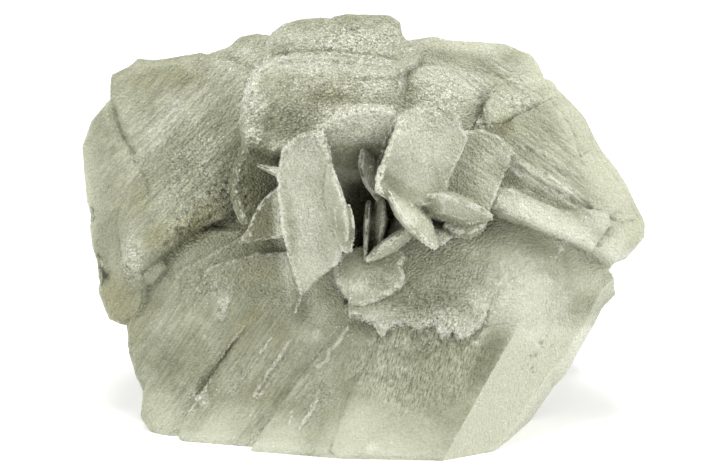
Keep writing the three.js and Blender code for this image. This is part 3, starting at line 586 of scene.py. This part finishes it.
paintedLightAndFinish = {
    "lift": 0.15,          # mm, how far off the surface a ray starts
    "sees": 9,             # mm, how deep a ray looks into the stone
    "thin": (1.0, 7.0),    # mm thick: clear, and no light comes through
    "thinPasses": 4,       # of smoothing
    "rays": 8,             # from each point, out into the open
    "upright": 1.05,       # how strongly they keep to the way the face looks
    "shelter": 14,         # mm, how far they look for what shelters the point
    "shelterPasses": 5,
    "ridgePasses": 2,      # from the finest ridges to the broadest
    "rimPasses": 8,
    "broadPasses": 30,
    "rim": (0.05, 0.22),   # mm above the smoothed form: no rim, a full one
    "rearCloud": 11,       # mm, the size of the patches on the back
}
# how strong each patch is on the back, where noise lays them
rearShares = {"frostAndLight": 0.75, "glass": 0.5, "deep": 0.8, "olive": 0.7, "grained": 0.4, "streakedLeft": 0.8,
              "streakedLow": 0.8}


def addAttribute(mesh, name, values):
    attribute = mesh.attributes.new(name, "FLOAT", "POINT")
    attribute.data.foreach_set("value", values.astype(np.float32))


mesh = cluster.data
points = spots(mesh)
away = normals(mesh)
places = worldToRose(points)
pairs = edgePairs(mesh)
front = frontness(places, away)
tree = meshTree(mesh)
lift = away * paintedLightAndFinish["lift"] * mm
through = castDistances(tree, points - lift, -away, paintedLightAndFinish["sees"] * mm)
thinness = spread(1 - ramp(through / mm, *paintedLightAndFinish["thin"]), pairs, paintedLightAndFinish["thinPasses"])
random = np.random.default_rng(7)
shelter = np.zeros(len(points))
for turn in range(paintedLightAndFinish["rays"]):
    loose = random.normal(size=points.shape)
    loose /= np.linalg.norm(loose, axis=1)[:, None]
    direction = away * paintedLightAndFinish["upright"] + loose
    direction /= np.linalg.norm(direction, axis=1)[:, None]
    run = castDistances(tree, points + lift, direction, paintedLightAndFinish["shelter"] * mm)
    shelter += (1 - run / (paintedLightAndFinish["shelter"] * mm)) / paintedLightAndFinish["rays"]
shelter = spread(shelter, pairs, paintedLightAndFinish["shelterPasses"])
addAttribute(mesh, "thinness", thinness)
addAttribute(mesh, "shelter", shelter)
ridge = heightAbove(points, away, pairs, paintedLightAndFinish["ridgePasses"])
addAttribute(mesh, "ridge", ridge.clip(-0.4, 0.4))
broadRidge = heightAbove(points, away, pairs, paintedLightAndFinish["broadPasses"])
addAttribute(mesh, "broadRidge", broadRidge.clip(-1.5, 1.5))
# white leaf rims, partly painted highlight
leafRim = ramp(heightAbove(points, away, pairs, paintedLightAndFinish["rimPasses"]), *paintedLightAndFinish["rim"])
rimmedHere = ramp(patchField(places, front, "rimmed"), 0.1, 0.6) + 0.3 * (1 - front)
addAttribute(mesh, "rim", leafRim * rimmedHere)
for i, kind in enumerate(("frostAndLight", "glass", "deep", "olive", "grained", "pitted", "rimmed", "hairs", "lit",
                          "murky", "streakedLeft", "streakedRight", "streakedLow")):
    clouded = ramp(noiseField(places, paintedLightAndFinish["rearCloud"], 30 * i), 0, 0.45)
    rear = rearShares.get(kind, 0) * clouded * (1 - front)
    addAttribute(mesh, kind, np.maximum(patchField(places, front, kind), rear))
for kind in ("crumbs", "strips", "cracks"):
    addAttribute(mesh, kind, seamField(places, front, kind))
addAttribute(mesh, "shaded", depthField(places, front, "shaded"))
addAttribute(mesh, "facet", onFacet(places) * front)
above = aboveCrustEdge(places)
rimWhite = np.interp(places[:, 0], *np.array(crust["white"]).T)
addAttribute(mesh, "crustRim", band(above, *crust["rim"]) * front * rimWhite)
addAttribute(mesh, "crustShade", band(above, *crust["shade"]) * front)
print("attributes done")


# selenite

tones = {
    "body": (0.345, 0.357, 0.24),
    "bodyLight": (0.47, 0.48, 0.35),
    "glass": (0.54, 0.553, 0.415),
    # the long facet's smooth face, made lighter as painted light on a face turned to the light
    "facet": (0.525, 0.535, 0.41),
    # white of the frosted crust, also used as painted light on what lies in shade
    "frostAndLight": (0.71, 0.72, 0.59),
    # dark see-into tone, also used as painted shade in grooves, hollows and under the crust
    "deep": (0.18, 0.186, 0.104),
    "olive": (0.34, 0.325, 0.185),
    # painted shade in the cracks
    "dark": (0.10, 0.098, 0.05),
    "shade": (0.035, 0.031, 0.012),
    # white of crumbs, crust and edges; also painted light through thin parts and painted highlight on ridges
    # and rims
    "edge": (0.74, 0.75, 0.63),
}
surface = {                  # sizes in mm
    "cloud": 9,
    "blotch": 2.6,
    "patchy": 1.6,
    "pits": 0.9,
    "glints": 0.9,
    "facets": 0.5,
    "grain": 0.35,
    "bump": 0.6,
    "tilt": 0.6,             # how far a grain may turn from the surface
    "gloss": (0.2, 0.55),    # roughness of the glossiest and of the dullest grain
    "refraction": 1.52,
    "scatter": 0.16,         # share of the light that goes into the stone
    "scatterDepth": 1.5,
    "scatterTint": (1.0, 1.0, 0.75),
}
# each finish, painted light and painted shade laid over the one before: its attribute, where it begins
# and is full, how ragged it is, its strength and its tone
layers = [
    ("olive", 0.15, 0.8, 0.5, 0.85, "olive"),
    ("deep", 0.15, 0.8, 0.5, 0.85, "deep"),
    # the long facet, partly painted light
    ("facet", 0.4, 0.6, 0.04, 0.95, "facet"),
    ("glass", 0.1, 0.8, 0.2, 0.85, "glass"),
    ("frostAndLight", 0.15, 0.8, 0.75, 0.75, "frostAndLight"),
    ("crumbs", 0.35, 0.7, 0.9, 0.85, "edge"),
    ("strips", 0.3, 0.8, 0.3, 0.6, "frostAndLight"),
    ("cracks", 0.3, 0.9, 0.6, 0.7, "dark"),
    ("crustShade", 0.2, 0.9, 0.6, 0.6, "deep"),
    ("crustRim", 0.25, 0.7, 0.5, 0.95, "edge"),
]
# lines drawn in the surface: slant in degrees, length and width in mm, detail and strength
lines = {
    "streakedLeft": (46, 5, 0.6, 3, 1.5),
    "streakedRight": (-36, 5, 0.6, 3, 1.6),
    "streakedLow": (57, 12, 0.45, 3, 1.2),
    "hairs": (76, 1.6, 0.28, 2, 2.7),
}


def newNode(tree, kind, **settings):
    node = tree.nodes.new("ShaderNode" + kind)
    for name, value in settings.items():
        setattr(node, name, value)
    return node


def mathNode(tree, operation, first, second=None, third=None):
    node = newNode(tree, "Math", operation=operation)
    for socket, value in zip(node.inputs, (first, second, third)):
        if value is None:
            continue
        if isinstance(value, (int, float)):
            socket.default_value = value
        else:
            tree.links.new(value, socket)
    return node.outputs[0]


def attributeNode(tree, name):
    return newNode(tree, "Attribute", attribute_name=name).outputs["Fac"]


def noiseNode(tree, vector, size, detail=2.0, roughness=0.5):
    # size is about how far apart the lumps lie, in mm
    node = newNode(tree, "TexNoise")
    node.inputs["Scale"].default_value = 1000 / size
    node.inputs["Detail"].default_value = detail
    node.inputs["Roughness"].default_value = roughness
    tree.links.new(vector, node.inputs["Vector"])
    return node.outputs["Fac"]


def slantedSpace(tree, where, slant, length, width):
    # coordinates in which noise is drawn out along a slanting line in the rose's face
    lean = newNode(tree, "Mapping", vector_type="TEXTURE")
    lean.inputs["Rotation"].default_value = (math.radians(-rose["lean"]), 0, 0)
    tree.links.new(where, lean.inputs["Vector"])
    along = newNode(tree, "Mapping", vector_type="TEXTURE")
    along.inputs["Rotation"].default_value = (0, math.radians(-slant), 0)
    along.inputs["Scale"].default_value = (length * mm, 1.5 * width * mm, width * mm)
    tree.links.new(lean.outputs[0], along.inputs["Vector"])
    return along.outputs[0]


def mapRange(tree, value, low, high, newLow=0.0, newHigh=1.0):
    node = newNode(tree, "MapRange", interpolation_type="SMOOTHSTEP")
    tree.links.new(value, node.inputs["Value"])
    for name, amount in (("From Min", low), ("From Max", high), ("To Min", newLow), ("To Max", newHigh)):
        node.inputs[name].default_value = amount
    return node.outputs[0]


def blend(tree, share, under, over):
    node = newNode(tree, "Mix", data_type="RGBA")
    tree.links.new(share, node.inputs[0])
    for socket, value in ((node.inputs[6], under), (node.inputs[7], over)):
        if isinstance(value, tuple):
            socket.default_value = (*value, 1)
        else:
            tree.links.new(value, socket)
    return node.outputs[2]


def brighten(tree, colour, amount):
    # amount 1 leaves the colour as it is
    node = newNode(tree, "Mix", data_type="RGBA", blend_type="MULTIPLY")
    node.inputs[0].default_value = 1
    grey = newNode(tree, "CombineColor")
    for channel in grey.inputs:
        tree.links.new(amount, channel)
    tree.links.new(colour, node.inputs[6])
    tree.links.new(grey.outputs[0], node.inputs[7])
    return node.outputs[2]


def cellNode(tree, where, size):
    node = newNode(tree, "TexVoronoi")
    node.inputs["Scale"].default_value = 1000 / size
    tree.links.new(where, node.inputs["Vector"])
    return node


def times(tree, first, second):
    return mathNode(tree, "MULTIPLY", first, second)


def plus(tree, first, second):
    return mathNode(tree, "ADD", first, second)


def timesPlus(tree, value, factor, more):
    return mathNode(tree, "MULTIPLY_ADD", value, factor, more)


def centred(tree, value, factor):
    # what lies around a half comes to lie around 0
    return timesPlus(tree, value, factor, -0.5 * factor)


def between(tree, name, low, high):
    return mapRange(tree, attributeNode(tree, name), low, high)


def stoneFields(tree):
    # what colour, level and bump are all worked out from; every grain is a small facet of its own
    where = newNode(tree, "TexCoord").outputs["Object"]
    facets = cellNode(tree, where, surface["facets"])
    split = newNode(tree, "SeparateColor")
    tree.links.new(facets.outputs["Color"], split.inputs[0])
    smooth = mathNode(tree, "MAXIMUM", attributeNode(tree, "facet"), attributeNode(tree, "glass"))
    unpolished = timesPlus(tree, mapRange(tree, smooth, 0.0, 0.8), -0.75, 1.0)
    grained = times(tree, attributeNode(tree, "grained"), unpolished)
    return {
        "where": where,
        "grain": noiseNode(tree, where, surface["grain"], 3, 0.7),
        "patchy": mapRange(tree, noiseNode(tree, where, surface["patchy"], 3, 0.6), 0.42, 0.6, 0.2, 1.0),
        "facetColour": facets.outputs["Color"],
        "facetEdge": facets.outputs["Distance"],
        "facetLevel": split.outputs[0],
        "facetGloss": split.outputs[1],
        "unpolished": unpolished,
        "sugary": mapRange(tree, grained, 0.1, 0.8, 0.06, 1.0),
    }


def stoneColour(tree, fields):
    where = fields["where"]
    cloud = noiseNode(tree, where, surface["cloud"], 3, 0.55)
    blotch = noiseNode(tree, where, surface["blotch"], 3, 0.5)
    stir = plus(tree, centred(tree, blotch, 0.9), centred(tree, fields["grain"], 0.9))

    def ragged(name, low, high, disorder):
        stirred = plus(tree, attributeNode(tree, name), times(tree, stir, disorder))
        return mapRange(tree, stirred, low, high)

    def cover(tone, *shares):
        share = shares[0]
        for more in shares[1:]:
            share = times(tree, share, more)
        return blend(tree, share, colour, tones[tone])

    colour = blend(tree, mapRange(tree, cloud, 0.35, 0.65), tones["body"], tones["bodyLight"])
    for name, low, high, disorder, strength, tone in layers:
        colour = cover(tone, ragged(name, low, high, disorder), strength)
    # painted light through what is thin, white ridges and rims (partly white crust, partly painted
    # highlight), then painted shade in fine grooves, broad hollows and pits and over what is hidden in shade
    clear = timesPlus(tree, attributeNode(tree, "murky"), -1.0, 1.0)
    colour = cover("edge", between(tree, "thinness", 0.45, 1.0), 0.4, clear)
    rimmed = timesPlus(tree, between(tree, "rimmed", 0.1, 0.6), 0.6, 0.15)
    colour = cover("edge", between(tree, "ridge", 0.02, 0.08), rimmed, fields["patchy"])
    colour = cover("edge", ragged("rim", 0.3, 0.8, 0.6), 0.75)
    colour = cover("deep", between(tree, "ridge", -0.02, -0.08), fields["patchy"], 0.5)
    colour = cover("deep", between(tree, "broadRidge", -0.1, -0.7), 0.15)
    pits = mapRange(tree, noiseNode(tree, where, surface["pits"], 2, 0.6), 0.42, 0.3)
    colour = cover("shade", pits, ragged("pitted", 0.2, 0.6, 0.5), 0.6)
    colour = cover("shade", between(tree, "shaded", 0.1, 0.8), 0.9)
    # frost and painted light both hold back the painted shade of shelter
    awayFromFrostAndLight = timesPlus(tree, attributeNode(tree, "frostAndLight"), -0.7, 1.0)
    unlit = timesPlus(tree, attributeNode(tree, "lit"), -1.0, 1.0)
    return cover("shade", between(tree, "shelter", 0.5, 0.9), times(tree, awayFromFrostAndLight, unlit), 0.95)


def stoneLevel(tree, fields):
    # how light or dark each spot of the colour gets; 1 leaves it as it is
    where, sugary = fields["where"], fields["sugary"]
    level = timesPlus(tree, centred(tree, fields["facetLevel"], 0.45), sugary, 1.0)
    shadeBetweenGrains = mapRange(tree, fields["facetEdge"], 0.35, 0.8)  # painted shade in the gaps between grains
    level = mathNode(tree, "SUBTRACT", level, times(tree, times(tree, shadeBetweenGrains, 0.35), sugary))
    rough = times(tree, timesPlus(tree, sugary, 1.8, 0.2), fields["unpolished"])
    level = plus(tree, level, times(tree, centred(tree, fields["grain"], 1.0), rough))
    level = plus(tree, level, times(tree, sugary, 0.07))
    level = plus(tree, level, times(tree, attributeNode(tree, "lit"), 0.4))
    glints = cellNode(tree, where, surface["glints"])  # scattered white specks: painted glints
    glint = times(tree, mapRange(tree, glints.outputs["Distance"], 0.24, 0.14), fields["patchy"])
    level = plus(tree, level, times(tree, glint, 0.3))
    for name, (slant, length, width, detail, strength) in lines.items():
        drawn = noiseNode(tree, slantedSpace(tree, where, slant, length, width), 1000, detail, 0.6)
        lined = times(tree, attributeNode(tree, name), fields["unpolished"])
        share = times(tree, mapRange(tree, lined, 0.1, 0.6), strength)
        level = plus(tree, level, times(tree, centred(tree, drawn, 1.0), share))
    return level


def vectorNode(tree, operation, first, second):
    node = newNode(tree, "VectorMath", operation=operation)
    tree.links.new(first, node.inputs[0])
    tree.links.new(second, node.inputs["Scale" if operation == "SCALE" else 1])
    return node.outputs[0]


def stoneNormal(tree, fields):
    # a fine bump, and every grain turned its own way
    bump = newNode(tree, "Bump")
    bump.inputs["Strength"].default_value = 1.0
    bump.inputs["Distance"].default_value = surface["bump"] * mm
    height = plus(tree, times(tree, fields["facetEdge"], -1.0), fields["grain"])
    share = timesPlus(tree, fields["unpolished"], 0.6, 0.4)
    tree.links.new(times(tree, height, share), bump.inputs["Height"])
    tilt = newNode(tree, "VectorMath", operation="MULTIPLY_ADD")
    tree.links.new(fields["facetColour"], tilt.inputs[0])
    tilt.inputs[1].default_value = (surface["tilt"],) * 3
    tilt.inputs[2].default_value = (-surface["tilt"] / 2,) * 3
    eased = vectorNode(tree, "SCALE", tilt.outputs[0], fields["sugary"])
    unit = newNode(tree, "VectorMath", operation="NORMALIZE")
    tree.links.new(vectorNode(tree, "ADD", bump.outputs["Normal"], eased), unit.inputs[0])
    return unit.outputs[0]


def seleniteMaterial():
    material = bpy.data.materials.new("selenite")
    material.use_nodes = True
    tree = material.node_tree
    shader = tree.nodes["Principled BSDF"]
    fields = stoneFields(tree)
    colour = brighten(tree, stoneColour(tree, fields), stoneLevel(tree, fields))
    tree.links.new(colour, shader.inputs["Base Color"])
    tree.links.new(stoneNormal(tree, fields), shader.inputs["Normal"])
    gloss = mapRange(tree, fields["facetGloss"], 0.0, 1.0, *surface["gloss"])
    tree.links.new(gloss, shader.inputs["Roughness"])
    shader.inputs["IOR"].default_value = surface["refraction"]
    shader.inputs["Subsurface Weight"].default_value = surface["scatter"]
    shader.inputs["Subsurface Radius"].default_value = surface["scatterTint"]
    shader.inputs["Subsurface Scale"].default_value = surface["scatterDepth"] * mm
    return material


cluster.data.materials.append(seleniteMaterial())
makeActive(cluster)
bpy.ops.object.shade_smooth()
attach(cluster, "root")
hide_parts("selenite_cluster")


# the sugar: small crystals set all over the grained places, the crumbled lines and the ragged edges

sugar = {
    "count": 12000,
    "long": (0.3, 0.6),      # mm
    "slim": (0.4, 0.75),     # width, as a share of the length
    "tip": 0.56,             # width at the outer end, as a share of the inner
    "lean": 0.4,
    "sunk": 0.55,            # share of the length
    "inset": 0.5,            # mm inside the stone's own limits
    "onGrained": 0.9,        # how thickly each place is set
    "onRims": 2.5,
    "onLines": 3,
    "onCrust": 1.5,
    "onBack": 0.06,
    "clumps": 2.5,           # mm, the size of the clumps, then of its clouds, flecks and duller places
    "cloud": 4,
    "fleck": 0.5,
    "dull": 0.8,
    "gloss": (0.15, 0.45),   # roughness
    "scatter": 0.4,
    "scatterDepth": 1,       # mm
}


def singleGrain():
    # a five-sided crystal 1 long, narrower at its outer end
    deselectAll()
    tip = 0.5 * sugar["tip"]
    bpy.ops.mesh.primitive_cone_add(vertices=5, radius1=0.5, radius2=tip, depth=1, location=(0, 0, 0))
    grain = bpy.context.object
    bpy.ops.object.mode_set(mode="EDIT")
    bpy.ops.mesh.select_all(action="SELECT")
    bpy.ops.mesh.quads_convert_to_tris()
    bpy.ops.object.mode_set(mode="OBJECT")
    corners = spots(grain.data)
    faces = np.array([tuple(face.vertices) for face in grain.data.polygons])
    bpy.data.objects.remove(grain)
    return corners, faces


def sugarWeights(mesh, places, facing):
    # how thickly each of the crystal's faces is set with grains
    front = frontness(places, facing)
    ridge = ramp(np.abs(heightAbove(places * mm, facing, edgePairs(mesh), 4)), 0.03, 0.15)
    grained = patchField(places, front, "grained")
    rimmed = patchField(places, front, "rimmed") * ridge
    crumbled = seamField(places, front, "crumbs")
    above = aboveCrustEdge(places)
    onRim = band(above, *crust["sugar"]) * front
    clumps = ramp(noiseField(places, sugar["clumps"]), -0.2, 0.5)
    bare = patchField(places, front, "bare")
    weights = (sugar["onGrained"] * ramp(grained, 0.3, 1) * clumps + sugar["onRims"] * rimmed
               + sugar["onLines"] * ramp(crumbled, 0.3, 0.8) + sugar["onCrust"] * onRim
               + sugar["onBack"] * (1 - front))
    return weights * ramp(bare, 0.5, 0.1)


def addSugar():
    random = np.random.default_rng(31)
    mesh = cluster.data
    points, facing = spots(mesh), normals(mesh)
    weights = sugarWeights(mesh, worldToRose(points), facing)
    faces = np.empty(len(mesh.polygons) * 3, dtype=np.int64)
    mesh.polygons.foreach_get("vertices", faces)
    faces = faces.reshape(-1, 3)
    corners = points[faces]
    areas = np.linalg.norm(np.cross(corners[:, 1] - corners[:, 0], corners[:, 2] - corners[:, 0]), axis=1)
    chance = areas * weights[faces].mean(axis=1)
    low = np.array([*cadBox[0]]) + sugar["inset"] * mm
    high = np.array([*cadBox[1]]) - sugar["inset"] * mm
    chance = chance * ((corners > low) & (corners < high)).all(axis=(1, 2))
    chosen = random.choice(len(faces), size=sugar["count"], p=chance / chance.sum())
    shares = random.dirichlet((1, 1, 1), size=sugar["count"])
    seats = (corners[chosen] * shares[:, :, None]).sum(axis=1)
    upright = facing[faces[chosen]].mean(axis=1) + sugar["lean"] * random.normal(size=seats.shape)
    upright /= np.linalg.norm(upright, axis=1)[:, None]
    across = np.cross(upright, random.normal(size=seats.shape))
    across /= np.linalg.norm(across, axis=1)[:, None]
    third = np.cross(upright, across)
    long = random.uniform(*sugar["long"], size=sugar["count"]) * mm
    slim = long * random.uniform(*sugar["slim"], size=sugar["count"])
    grainCorners, grainFaces = singleGrain()
    grainCorners[:, 2] += 0.5 - sugar["sunk"]
    places = seats[:, None, :] + np.zeros((1, len(grainCorners), 1))
    for k, side in enumerate((across * slim[:, None], third * slim[:, None], upright * long[:, None])):
        places += grainCorners[None, :, k, None] * side[:, None, :]
    allFaces = grainFaces[None] + np.arange(sugar["count"])[:, None, None] * len(grainCorners)
    grainMesh = bpy.data.meshes.new("sugarCrystals")
    grainMesh.from_pydata(places.reshape(-1, 3), [], allFaces.reshape(-1, 3))
    # the tints and the painted shade of the stone beneath each grain
    for name in ("shelter", "shaded", "olive", "deep"):
        field = np.empty(len(mesh.vertices), dtype=np.float32)
        mesh.attributes[name].data.foreach_get("value", field)
        addAttribute(grainMesh, name, np.repeat(field[faces[chosen]].mean(axis=1), len(grainCorners)))
    grains = bpy.data.objects.new("sugarCrystals", grainMesh)
    bpy.context.scene.collection.objects.link(grains)
    return grains


def sugarMaterial():
    material = bpy.data.materials.new("sugar")
    material.use_nodes = True
    tree = material.node_tree
    shader = tree.nodes["Principled BSDF"]
    where = newNode(tree, "TexCoord").outputs["Object"]
    cloud = mapRange(tree, noiseNode(tree, where, sugar["cloud"], 2), 0.35, 0.65)
    colour = blend(tree, cloud, tones["bodyLight"], tones["edge"])
    for name, share in (("olive", 0.6), ("deep", 0.5)):
        field = between(tree, name, 0.1, 0.8)
        colour = blend(tree, times(tree, field, share), colour, tones[name])
    fleck = mapRange(tree, noiseNode(tree, where, sugar["fleck"], 1), 0.3, 0.7, 0.75, 1.15)
    colour = brighten(tree, colour, fleck)
    # painted shade on grains set in shaded and sheltered places
    for name, low, high in (("shaded", 0.1, 0.8), ("shelter", 0.5, 0.9)):
        field = between(tree, name, low, high)
        colour = blend(tree, times(tree, field, 0.85), colour, tones["shade"])
    tree.links.new(colour, shader.inputs["Base Color"])
    gloss = mapRange(tree, noiseNode(tree, where, sugar["dull"], 1), 0.3, 0.7, *sugar["gloss"])
    tree.links.new(gloss, shader.inputs["Roughness"])
    shader.inputs["IOR"].default_value = surface["refraction"]
    shader.inputs["Subsurface Weight"].default_value = sugar["scatter"]
    shader.inputs["Subsurface Radius"].default_value = surface["scatterTint"]
    shader.inputs["Subsurface Scale"].default_value = sugar["scatterDepth"] * mm
    return material


grains = addSugar()
grains.data.materials.append(sugarMaterial())
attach(grains, "root")
print("sugar crystals", len(grains.data.polygons))


# floor and light

studio = {
    "floor": 4.0,             # m across
    "floorGrey": 0.76,
    "glow": 0.4,              # how strongly the floor shines by itself, and the sky
    "sky": 0.4,
    "aim": (0, 0, 0.04),      # m, where the lights point
    "lights": {               # each light's place and width in m, and its power in W
        "topLight": ((0.0, 0.08, 0.9), 0.4, 6.8),
        "rightLight": ((0.72, -0.25, 0.3), 0.5, 4.5),
        "leftLight": ((-0.72, -0.3, 0.35), 0.5, 4.0),
    },
}

deselectAll()
bpy.ops.mesh.primitive_plane_add(size=studio["floor"], location=(0, 0, 0))
floor = bpy.context.object
floor.name = "floor"
floorFinish = bpy.data.materials.new("litPanel")
floorFinish.use_nodes = True
panel = floorFinish.node_tree.nodes["Principled BSDF"]
panel.inputs["Base Color"].default_value = (*[studio["floorGrey"]] * 3, 1)
panel.inputs["Roughness"].default_value = 0.95
panel.inputs["Specular IOR Level"].default_value = 0.1
panel.inputs["Emission Color"].default_value = (1, 1, 1, 1)
panel.inputs["Emission Strength"].default_value = studio["glow"]
floor.data.materials.append(floorFinish)

world = bpy.data.worlds.new("studio")
world.use_nodes = True
world.node_tree.nodes["Background"].inputs["Color"].default_value = (1, 1, 1, 1)
world.node_tree.nodes["Background"].inputs["Strength"].default_value = studio["sky"]
bpy.context.scene.world = world
bpy.context.scene.view_settings.view_transform = "Standard"


def softLight(name, place, size, power):
    data = bpy.data.lights.new(name, "AREA")
    data.shape = "SQUARE"
    data.size = size
    data.energy = power
    lamp = bpy.data.objects.new(name, data)
    bpy.context.scene.collection.objects.link(lamp)
    lamp.location = place
    lamp.rotation_euler = (Vector(studio["aim"]) - Vector(place)).to_track_quat("-Z", "Y").to_euler()


for name, settings in studio["lights"].items():
    softLight(name, *settings)
